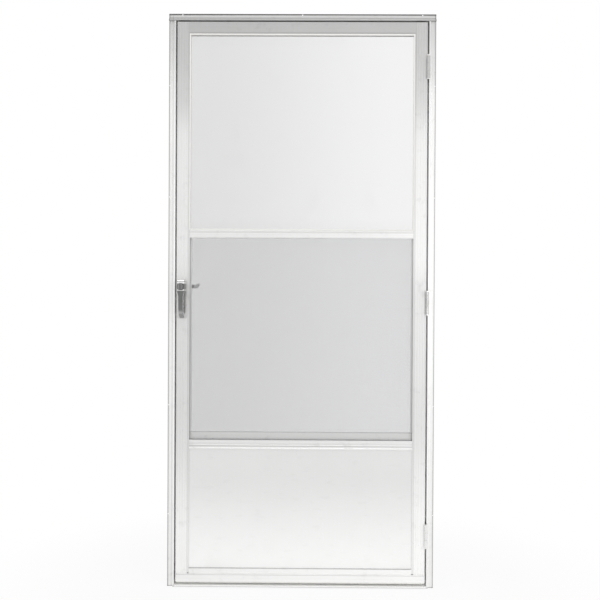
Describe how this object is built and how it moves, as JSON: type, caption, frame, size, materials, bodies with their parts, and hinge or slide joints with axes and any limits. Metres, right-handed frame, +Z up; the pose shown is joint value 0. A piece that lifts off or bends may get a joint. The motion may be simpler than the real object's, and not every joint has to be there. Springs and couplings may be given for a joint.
{
  "type": "storm door",
  "caption": "Self-storing aluminium storm door hung in its nail-fin frame, with upper glass, lower insect screen, sheet kick panel and push-button pull handle.",
  "frame": {"origin": "lower middle of the frame, on the wall's outside face under the fins", "axes": "+X along the wall towards the hinges, +Y into the room, +Z up"},
  "size_m": [0.908, 0.099, 1.953],
  "materials": {
    "mill_aluminium": "mill finish, extruded",
    "sheet_aluminium": "flat sheet, lightly brushed",
    "hinge_metal": "bright plated",
    "cast_handle": "satin plated casting",
    "button_metal": "polished",
    "pane": "clear float glass",
    "screen": "woven insect screen",
    "vinyl_white": "soft extruded vinyl",
    "pile_grey": "woven pile"
  },
  "bodies": {
    "frame": {"latch_jamb": "mill_aluminium", "hinge_jamb": "mill_aluminium", "frame_head": "mill_aluminium", "frame_sill": "mill_aluminium", "weatherstrip_latch": "pile_grey", "weatherstrip_hinge": "pile_grey", "weatherstrip_head": "pile_grey", "strike_plate": "hinge_metal", "hinge_frame_leaf_top": "hinge_metal", "hinge_frame_leaf_middle": "hinge_metal", "hinge_frame_leaf_bottom": "hinge_metal", "hinge_pin_top": "hinge_metal", "hinge_pin_middle": "hinge_metal", "hinge_pin_bottom": "hinge_metal"},
    "leaf": {"latch_stile": "mill_aluminium", "hinge_stile": "mill_aluminium", "top_rail": "mill_aluminium", "meeting_rail": "mill_aluminium", "lock_rail": "mill_aluminium", "bottom_rail": "mill_aluminium", "kick_panel": "sheet_aluminium", "upper_glass": "pane", "glazing_bead": "vinyl_white", "screen_mesh": "screen", "screen_bottom_rail": "mill_aluminium", "screen_top_rail": "mill_aluminium", "screen_side_latch": "mill_aluminium", "screen_side_hinge": "mill_aluminium", "bottom_expander": "mill_aluminium", "bottom_sweep": "vinyl_white", "hinge_door_leaf_top": "hinge_metal", "hinge_door_leaf_middle": "hinge_metal", "hinge_door_leaf_bottom": "hinge_metal", "handle_plate": "hinge_metal", "pull_handle": "cast_handle", "latch_case": "cast_handle", "latch_bolt": "hinge_metal", "lever_pin": "hinge_metal"},
    "button": {"push_button": "button_metal"},
    "lever": {"inside_lever": "cast_handle"}
  },
  "joints": [
    {"name": "leaf_swing", "type": "hinge", "parent": "frame", "child": "leaf", "pos_m": [0.42675, -0.0189, 0.972], "axis": [0, 0, 1], "range_deg": [0, 110]},
    {"name": "lever_swing", "type": "hinge", "parent": "leaf", "child": "lever", "pos_m": [-0.3885, 0.026, 1.025], "axis": [0, 0, -1], "range_deg": [0, 20]},
    {"name": "button_press", "type": "slide", "parent": "leaf", "child": "button", "axis": [0, 1, 0], "range_m": [0, 0.0045], "stiffness_N_per_m": 900}
  ],
  "couplings": [
    {"joint": "lever_swing", "follows": "button_press", "rad_per_m": 77.56}
  ]
}
